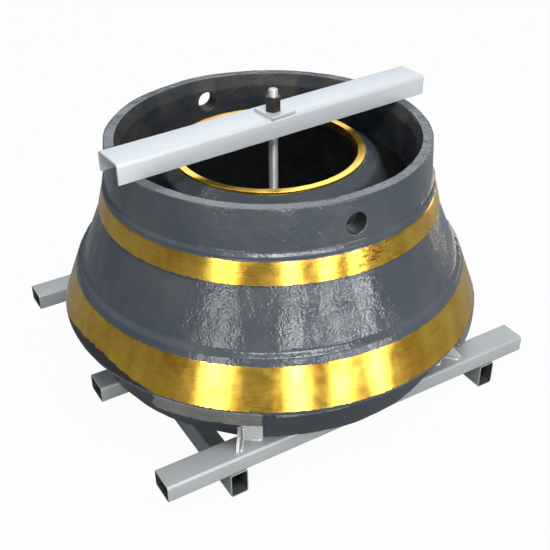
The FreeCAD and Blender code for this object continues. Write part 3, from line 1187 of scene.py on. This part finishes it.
@dataclass(frozen=True)
class Bar:
    """Rolled section swept along a line; the section is a band between two matched runs of points."""

    name: str
    outer: np.ndarray
    inner: np.ndarray
    closed: bool
    start: Vector
    end: Vector
    ease: float = 0.0005
    end_share: float = 2.0 / 3.0

    def build(self, materials: list[bpy.types.Material], nodes: tuple[str, ...]) -> bpy.types.Object:
        """Sweep the section.

        Args:
            materials: finishes of the outer and the inner face.
            nodes: the CAD nodes that it stands for.

        Returns:
            The piece.
        """
        line = np.array(self.end - self.start)
        length = float(np.linalg.norm(line))
        along = line / length
        across = np.cross(np.array([0.0, 0.0, 1.0]), along)
        middle = (self.outer + self.inner) / 2.0
        stations = [(0.0, self.end_share), (self.ease, 1.0),
                    (length - self.ease, 1.0), (length, self.end_share)]
        sheets = []
        for run in (self.outer, self.inner):
            rings = []
            for place, share in stations:
                spot = middle + (run - middle) * share
                rings.append(np.array(self.start) + along * place + spot[:, :1] * across
                             + spot[:, 1:] * np.array([0.0, 0.0, 1.0]))
            sheets.append(np.array(rings))
        shell = Shell()
        for sheet, finish in zip(sheets, (0, 1)):
            shell.strip(sheet, finish, closed_columns=self.closed)
        for end in (0, -1):
            shell.strip(np.stack([sheets[0][end], sheets[1][end]]), closed_columns=self.closed)
        if not self.closed:
            for side in (0, -1):
                shell.strip(np.stack([sheets[0][:, side], sheets[1][:, side]]), closed_columns=False)
        return shell.build(self.name, materials, "frame_paint", replaces=nodes)


def rounded_run(corners: list[tuple[float, float, float]], closed: bool) -> np.ndarray:
    """Run of points through corners, each rounded by an arc of seven points.

    Args:
        corners: (across, up, rounding).
        closed: whether the last corner joins the first.

    Returns:
        The points, (n, 2).
    """
    points = []
    count = len(corners)
    for i, (x, z, rounding) in enumerate(corners):
        spot = np.array([x, z])
        if not closed and i in (0, count - 1):
            points.append(spot)
            continue
        back = np.array(corners[i - 1][:2]) - spot
        onward = np.array(corners[(i + 1) % count][:2]) - spot
        back, onward = back / np.linalg.norm(back), onward / np.linalg.norm(onward)
        for k in range(7):
            turn = math.pi / 2.0 * k / 6
            points.append(spot + rounding * ((1.0 - math.sin(turn)) * back + (1.0 - math.cos(turn)) * onward))
    return np.array(points)


@dataclass(frozen=True)
class ChannelForm:
    """Section of the clamp channel, and where it lies across the rim."""

    half: float = 0.040
    height: float = 0.043
    wall: float = 0.005
    bend: float = 0.008
    length: float = 0.768
    middle: tuple[float, float] = (0.012, -0.0056)
    turn: float = math.radians(4.2)


@dataclass
class WeldedFrame:
    """Cross tubes, runners, clamp channel and the stops' welds."""

    levels: Levels
    wall: float = 0.003
    corner: float = 0.006
    stop_room: float = 0.002
    plate_half: float = 0.0225
    gusset_toe: float = 0.0145
    weld_inset: float = 0.004
    weld_height: float = 0.0605

    def tube(self, node: str, along_x: bool, finishes: list[bpy.types.Material]) -> bpy.types.Object:
        """Make one tube in its CAD node's box.

        Args:
            node: the CAD node.
            along_x: whether it runs along X.
            finishes: finishes of its outside and its inside.

        Returns:
            The piece.
        """
        low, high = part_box(node)
        middle = (low + high) / 2.0
        half = (high.y - low.y if along_x else high.x - low.x) / 2.0
        up = high.z - low.z

        def section(inset: float) -> np.ndarray:
            """Rounded rectangle of the tube's section.

            Args:
                inset: how far it's moved in from the outside.

            Returns:
                Its points, (n, 2).
            """
            x, z, rounding = half - inset, inset, self.corner - inset
            return rounded_run([(-x, z, rounding), (x, z, rounding), (x, up - inset, rounding),
                                (-x, up - inset, rounding)], True)

        start = Vector((low.x, middle.y, low.z)) if along_x else Vector((middle.x, low.y, low.z))
        end = Vector((high.x, middle.y, low.z)) if along_x else Vector((middle.x, high.y, low.z))
        bar = Bar(node + "_skin", section(0.0), section(self.wall), True, start, end)
        return bar.build(finishes, (node,))

    def channel(self, material: bpy.types.Material) -> bpy.types.Object:
        """Make the clamp channel, open side down.

        Args:
            material: its finish.

        Returns:
            The piece.
        """
        form = ChannelForm()
        half, height, wall, bend = form.half, form.height, form.wall, form.bend
        middle = Vector((*form.middle, self.levels.rim))
        reach = Vector((math.cos(form.turn), math.sin(form.turn), 0.0)) * (form.length / 2.0)
        outer = rounded_run([(-half, 0, 0), (-half, height, bend), (half, height, bend), (half, 0, 0)], False)
        inner = rounded_run([(-half + wall, 0, 0), (-half + wall, height - wall, bend - wall),
                             (half - wall, height - wall, bend - wall), (half - wall, 0, 0)], False)
        bar = Bar("clamp_channel_skin", outer, inner, False, middle - reach, middle + reach)
        return bar.build([material, material], ("clamp_channel",))

    def weld(self, name: str, points: list[Vector], size: float, seed: int,
             material: bpy.types.Material) -> bpy.types.Object:
        """Make a weld bead along a run of points.

        Args:
            name: the piece's name.
            points: the run.
            size: the bead's half width.
            seed: seeds its ripples.
            material: its finish.

        Returns:
            The piece.
        """
        run = np.array(points)
        gone = np.concatenate([[0.0], np.cumsum(np.linalg.norm(np.diff(run, axis=0), axis=1))])
        share = np.linspace(0.0, gone[-1], max(12, int(gone[-1] / 0.0018)))
        spine = np.stack([np.interp(share, gone, run[:, k]) for k in range(3)], axis=1)
        along = np.gradient(spine, axis=0)
        along /= np.linalg.norm(along, axis=1, keepdims=True)
        side = np.cross(along, np.array([0.0, 0.0, 1.0]) + 1e-6)
        side /= np.linalg.norm(side, axis=1, keepdims=True)
        top = np.cross(side, along)
        turn = np.linspace(0.0, TAU, 14, endpoint=False)
        ends = np.minimum(share, share[::-1])
        ripple = 1.0 + 0.13 * np.sin(share / 0.0033 * TAU)
        girth = size * np.sqrt(np.clip(ends / (size * 1.2), 0.02, 1.0)) * ripple
        rings = (spine[:, None] + girth[:, None, None]
                 * (side[:, None] * np.cos(turn)[None, :, None] + top[:, None] * np.sin(turn)[None, :, None]))
        flat = rings.reshape(-1, 3)
        lump = Lumps(seed, 0.009)(flat).reshape(rings.shape[:2]) * size * 0.16
        out = rings - spine[:, None]
        rings = rings + out / np.linalg.norm(out, axis=2, keepdims=True) * lump[..., None]
        shell = Shell()
        shell.strip(rings)
        shell.cap(rings[0])
        shell.cap(rings[-1])
        return shell.build(name, [material], "frame_paint", sharp=70.0)

    def build(self, materials: dict[str, bpy.types.Material]) -> list[bpy.types.Object]:
        """Make the frame and finish the stops.

        Args:
            materials: the frame's finishes by name.

        Returns:
            The pieces.
        """
        pieces = [self.tube(node, True, [materials["frame"], materials["hollow"]]) for node in CROSS_TUBES]
        pieces += [self.tube(node, False, [materials["runner"], materials["hollow"]]) for node in RUNNERS]
        pieces.append(self.channel(materials["channel"]))
        self.weld_stops(pieces, materials["weld"])
        self.weld_runners(pieces, materials["weld"])
        return pieces

    def weld_stops(self, pieces: list[bpy.types.Object], material: bpy.types.Material) -> None:
        """Weld each stop to its tube along its plate's foot, its gusset's foot and its upright edge.

        Args:
            pieces: the frame's pieces, which the welds join; their number seeds each weld.
            material: the welds' finish.
        """
        bed, skirt = self.levels.bed, self.levels.skirt + self.stop_room
        half, toe = self.plate_half, self.gusset_toe
        for corner, angle, side in STOPS:
            turn = Matrix.Rotation(math.radians(angle), 3, "Z")
            plate = [turn @ Vector((skirt + 0.008, y, bed + 0.0015)) for y in (-half, half)]
            gusset = [turn @ Vector((x, side * toe, bed + 0.001)) for x in (skirt + 0.01, skirt + 0.046)]
            upright = [turn @ Vector((skirt + 0.0095, side * toe, bed + z)) for z in (0.002, 0.034)]
            runs = (("foot", plate, 0.0038), ("gusset", gusset, 0.0033), ("upright", upright, 0.003))
            for tag, run, size in runs:
                pieces.append(self.weld(f"{corner}_{tag}_weld", run, size, len(pieces), material))

    def weld_runners(self, pieces: list[bpy.types.Object], material: bpy.types.Material) -> None:
        """Weld each runner to the cross tubes, on both sides of each tube that the runner passes.

        Args:
            pieces: the frame's pieces, which the welds join; their number seeds each weld.
            material: the welds' finish.
        """
        inset = self.weld_inset
        for runner in RUNNERS:
            low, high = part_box(runner)
            ends, level = (low.x + inset, high.x - inset), low.z + self.weld_height
            for tube in CROSS_TUBES:
                near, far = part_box(tube)
                for tag, y in (("near", near.y + inset), ("far", far.y - inset)):
                    if low.y + 0.01 < y < high.y - 0.01:
                        run = [Vector((x, y, level)) for x in ends]
                        name = f"{runner}_{tube}_{tag}_weld"
                        pieces.append(self.weld(name, run, 0.0035, 70 + len(pieces), material))


@dataclass
class TieRod:
    """Threaded rod with its nuts."""

    pitch: float = 0.0025
    depth: float = 0.0009
    tip: float = 0.0018
    nut_bore: float = 0.0101
    nut_corner: float = 1.148
    nut_face: float = 0.985

    def rod(self, material: bpy.types.Material) -> bpy.types.Object:
        """Make the rod: r = R - d (1 + cos(2 pi z / p - a)) / 2, fading at both ends.

        Args:
            material: its finish.

        Returns:
            The piece.
        """
        low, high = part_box("tie_rod")
        radius, middle = (high.x - low.x) / 2.0, (low + high) / 2.0
        rows = int((high.z - low.z) / self.pitch * 6)
        level = np.linspace(low.z, high.z, rows)[:, None]
        turn = np.linspace(0.0, TAU, 28, endpoint=False)[None, :]
        reach = radius - self.depth * 0.5 * (1.0 + np.cos(TAU * level / self.pitch - turn))
        ends = np.minimum(level - low.z, high.z - level)
        reach = np.minimum(reach, radius - self.tip + ends)
        rings = polar(reach, turn, level) + np.array([middle.x, middle.y, 0.0])
        shell = Shell()
        shell.strip(rings)
        shell.cap(rings[0])
        shell.cap(rings[-1])
        return shell.build("tie_rod_thread", [material], "bright_steel", sharp=60.0, replaces=("tie_rod",))

    def nut(self, node: str, material: bpy.types.Material) -> bpy.types.Object:
        """Make a hexagon nut whose corners are cut by cones at 30 degrees.

        Args:
            node: the CAD node.
            material: its finish.

        Returns:
            The piece.
        """
        low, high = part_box(node)
        middle = (low + high) / 2.0
        apothem, bore, height = (high.y - low.y) / 2.0, self.nut_bore, high.z - low.z
        face = apothem * self.nut_face
        turn = np.linspace(0.0, TAU, 96, endpoint=False)
        reach = apothem / np.cos((turn % (TAU / 6.0)) - TAU / 12.0)
        reach = np.minimum(reach, apothem * self.nut_corner)
        drop = (reach - face) * math.tan(math.radians(30.0))
        one = np.ones_like(turn)
        rows = [(one * bore, one * height), (one * face, one * height), (reach, height - drop),
                (reach, drop), (one * face, one * 0.0), (one * bore, one * 0.0)]
        rings = np.array([polar(r, turn, z + low.z) for r, z in rows]) + np.array([middle.x, middle.y, 0.0])
        shell = Shell()
        shell.strip(rings, closed_rows=True)
        return shell.build(node + "_hexagon", [material], "black_steel", sharp=25.0, replaces=(node,))

    def build(self, materials: dict[str, bpy.types.Material]) -> list[bpy.types.Object]:
        """Make the rod and nuts.

        Args:
            materials: finishes by name.

        Returns:
            The pieces.
        """
        nuts = [self.nut(node, materials["black"]) for node in NUTS]
        return [self.rod(materials["rod"]), *nuts]


# ---------------------------------------------------------------------------------------------
# Studio
# ---------------------------------------------------------------------------------------------


@dataclass(frozen=True)
class Panel:
    """Flat lamp seen from the set at an azimuth, standing between two heights."""

    azimuth: float
    wide: float
    foot: float
    top: float
    watts: float
    tint: tuple[float, float, float] = (1.0, 1.0, 1.0)
    distance: float = 3.6
    aim: float = 0.35

    def build(self, name: str) -> bpy.types.Object:
        """Hang the lamp, facing the set.

        Args:
            name: the lamp's name.

        Returns:
            The lamp.
        """
        lamp = bpy.data.lights.new(name, "AREA")
        lamp.shape = "RECTANGLE"
        lamp.size = 2.0 * self.distance * math.tan(math.radians(self.wide / 2.0))
        lamp.size_y = self.top - self.foot
        lamp.energy = self.watts
        lamp.color = self.tint
        thing = bpy.data.objects.new(name, lamp)
        bpy.context.scene.collection.objects.link(thing)
        turn = math.radians(self.azimuth)
        middle = (self.foot + self.top) / 2.0
        thing.location = (self.distance * math.cos(turn), self.distance * math.sin(turn), middle)
        aim = Vector((0.0, 0.0, self.aim)) - thing.location
        thing.rotation_euler = aim.to_track_quat("-Z", "Y").to_euler()
        thing.visible_camera = False
        return thing


@dataclass
class Studio:
    """Pale floor, soft light and the camera."""

    lens: float = 58.64
    place: tuple[float, float, float] = (-0.88064, -1.49726, 1.37629)
    back: tuple[float, float, float] = (-0.4275, -0.7153, 0.5528)
    roll: float = math.radians(0.3)
    sensor: float = 36.0
    far: float = 50.0
    floor_half: float = 30.0

    def camera(self) -> None:
        """Set the camera from its place, its backward direction and its roll."""
        data = bpy.data.cameras.new("camera")
        data.lens, data.sensor_width, data.clip_end = self.lens, self.sensor, self.far
        thing = bpy.data.objects.new("camera", data)
        bpy.context.scene.collection.objects.link(thing)
        behind = Vector(self.back).normalized()
        right = Vector((0.0, 0.0, 1.0)).cross(behind).normalized()
        above = behind.cross(right)
        turned_right = right * math.cos(self.roll) - above * math.sin(self.roll)
        turned_above = behind.cross(turned_right)
        facing = Matrix((turned_right, turned_above, behind)).transposed()
        thing.matrix_world = Matrix.Translation(self.place) @ facing.to_4x4()
        bpy.context.scene.camera = thing

    @staticmethod
    def world() -> None:
        """White to the camera, and a dim hall with a lighter roof in reflections."""
        world = bpy.data.worlds.new("hall")
        bpy.context.scene.world = world
        world.use_nodes = True
        tree = world.node_tree
        tree.nodes.clear()
        new, link = tree.nodes.new, tree.links.new
        path, place = new("ShaderNodeLightPath"), new("ShaderNodeTexCoord")
        output = new("ShaderNodeOutputWorld")
        parts, ramp = new("ShaderNodeSeparateXYZ"), new("ShaderNodeMapRange")
        link(place.outputs["Generated"], parts.inputs[0])
        link(parts.outputs[2], ramp.inputs["Value"])
        for key, value in (("From Min", 0.0), ("From Max", 0.8), ("To Min", 0.10), ("To Max", 0.62)):
            ramp.inputs[key].default_value = value
        hall, white = new("ShaderNodeBackground"), new("ShaderNodeBackground")
        mix = new("ShaderNodeMixShader")
        hall.inputs["Color"].default_value = (0.86, 0.93, 1.0, 1.0)
        link(ramp.outputs[0], hall.inputs["Strength"])
        white.inputs["Color"].default_value = (1.0, 1.0, 1.0, 1.0)
        link(path.outputs["Is Camera Ray"], mix.inputs[0])
        link(hall.outputs[0], mix.inputs[1])
        link(white.outputs[0], mix.inputs[2])
        link(mix.outputs[0], output.inputs["Surface"])

    def floor(self) -> None:
        """Pale floor that the camera sees almost white, and that reflections see as grey."""
        mesh = bpy.data.meshes.new("floor")
        half = self.floor_half
        corners = [(-half, -half, 0), (half, -half, 0), (half, half, 0), (-half, half, 0)]
        mesh.from_pydata(corners, [], [(0, 1, 2, 3)])
        thing = bpy.data.objects.new("floor", mesh)
        bpy.context.scene.collection.objects.link(thing)
        graph = Graph("floor_paint")
        path = graph.add("ShaderNodeLightPath")
        pale = graph.add("ShaderNodeBsdfDiffuse", Color=colour(0.27, 0.28, 0.29)).outputs[0]
        white = graph.add("ShaderNodeEmission", Color=colour(1.0, 1.0, 1.0), Strength=1.0).outputs[0]
        seen = graph.math("MULTIPLY", path.outputs["Is Camera Ray"], 0.97)
        mesh.materials.append(graph.finish(graph.layer(seen, pale, white)))

    def build(self) -> None:
        """Set up the studio."""
        self.camera()
        self.world()
        self.floor()
        lamps = {
            "window_a": Panel(-146.0, 14.0, 0.02, 1.15, 21.0),
            "window_b": Panel(-108.0, 8.0, 0.02, 1.2, 21.0),
            "window_c": Panel(-87.0, 8.0, 0.02, 1.2, 20.0),
            "window_d": Panel(-69.0, 8.0, 0.02, 1.1, 22.0),
            "warm_bounce": Panel(8.0, 30.0, 0.02, 0.40, 4.0, (1.0, 0.83, 0.62), 1.9),
            "sky": Panel(59.0, 46.0, 2.1, 3.9, 38.0, (0.93, 0.97, 1.0)),
            "roof": Panel(-100.0, 60.0, 3.2, 4.4, 120.0, (0.95, 0.98, 1.0), 2.0),
        }
        for name, panel in lamps.items():
            panel.build(name)


def cad_nodes() -> dict[str, bpy.types.Object]:
    """CAD nodes in the scene.

    Returns:
        Objects by node name.
    """
    return {thing["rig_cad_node"]: thing for thing in bpy.context.scene.objects if "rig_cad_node" in thing}


def build_liner(levels: Levels) -> None:
    """Make the bowl liner with its ledges and paint runs.

    Args:
        levels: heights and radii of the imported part.
    """
    bed, form = levels.bed, LinerForm()
    outer = CastPaint("liner_paint", colour(0.052, 0.061, 0.074), colour(0.074, 0.080, 0.088))
    inner = CastPaint("liner_inside_paint", colour(0.032, 0.038, 0.046), colour(0.085, 0.074, 0.066), 0.3,
                      smoke=0.75)
    lower, upper = ([bed + height for height in seat] for seat in (form.lower_seat, form.upper_seat))
    lower_gold = GoldVarnish("lower_seat_varnish", *lower, outer, black_arc=(-172.0, 27.0))
    upper_gold = GoldVarnish("upper_seat_varnish", *upper, outer, creep=0.0012, flaked_arc=(-89.0, 16.0))
    # Near-black painted shade inside the lifting holes; it is not a paint colour of the casting.
    bore = CastPaint("bore_painted_shade", colour(0.010, 0.011, 0.013), colour(0.02, 0.02, 0.02), 0.45)
    ledge = CastPaint("ledge_paint", colour(0.155, 0.150, 0.138), colour(0.115, 0.112, 0.105), 0.4, 0.0006,
                      0.003)
    liner_paint, liner_inside = outer.material(), inner.material()
    BowlLiner(levels).build([liner_paint, lower_gold.material(), upper_gold.material(), liner_inside,
                             bore.material(), ledge.material()])
    PaintRuns(levels).build(liner_paint)


def build_mantle(levels: Levels) -> None:
    """Make the mantle.

    Args:
        levels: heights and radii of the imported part.
    """
    core = CastPaint("mantle_paint", colour(0.040, 0.046, 0.055), colour(0.056, 0.061, 0.069))
    # Near-black painted shade on the mantle's bore and inner faces, standing in for the shadow inside the
    # casting.
    painted_inside_shade = CastPaint("mantle_inside_painted_shade", colour(0.010, 0.011, 0.013), colour(0.018, 0.017, 0.016), 0.5)
    top, around = levels.mantle_top, 0.05
    ring = GoldVarnish("mantle_ring_varnish", top - around, top + around, core)
    core_paint = core.material()
    Mantle(levels).build([core_paint, ring.material(), core_paint, painted_inside_shade.material()])


def build_frame(levels: Levels) -> None:
    """Make the welded frame and the clamp channel.

    Args:
        levels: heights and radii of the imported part.
    """
    WeldedFrame(levels).build({
        "frame": FramePaint("frame_paint", colour(0.43, 0.445, 0.44)).material(),
        "runner": FramePaint("runner_paint", colour(0.30, 0.345, 0.33)).material(),
        "channel": FramePaint("channel_paint", colour(0.60, 0.615, 0.63), soil=0.12).material(),
        "hollow": FramePaint("tube_inside", colour(0.045, 0.043, 0.04), 0.6, 0.0).material(),
        "weld": FramePaint("weld_paint", colour(0.66, 0.66, 0.65), 0.3, 0.3, 0.5, 0.0004).material(),
    })


def build_fastenings() -> None:
    """Make the rod and its nuts, and finish the plates and stops that keep their CAD meshes."""
    rod = WornSteel("rod_paint", colour(0.60, 0.60, 0.59), colour(0.42, 0.41, 0.40), 0.38, 0.45)
    black = WornSteel("black_oxide", colour(0.022, 0.018, 0.017), colour(0.09, 0.065, 0.055), 0.38, 0.3, 0.56)
    TieRod().build({"rod": rod.material(), "black": black.material()})
    plate = FramePaint("plate_paint", colour(0.62, 0.63, 0.62)).material()
    stop = FramePaint("stop_paint", colour(0.60, 0.60, 0.59), 0.35, 0.3, 0.5, 0.0003).material()
    for node, thing in cad_nodes().items():
        if thing.hide_render:
            continue
        thing.data.materials.clear()
        thing.data.materials.append(plate if "plate" in node and "stop" not in node else stop)


def main() -> None:
    """Build the set in order."""
    logging.basicConfig(level=logging.INFO, format="%(name)s: %(message)s")
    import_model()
    levels = Levels.of_frame()
    LOG.info("levels %s", levels)
    build_liner(levels)
    LOG.info("bowl liner built")
    build_mantle(levels)
    LOG.info("mantle built")
    build_frame(levels)
    build_fastenings()
    LOG.info("frame and fastenings built")
    Studio().build()
    scene = bpy.context.scene
    scene.view_settings.view_transform = "Standard"


if __name__ == "__main__":
    main()
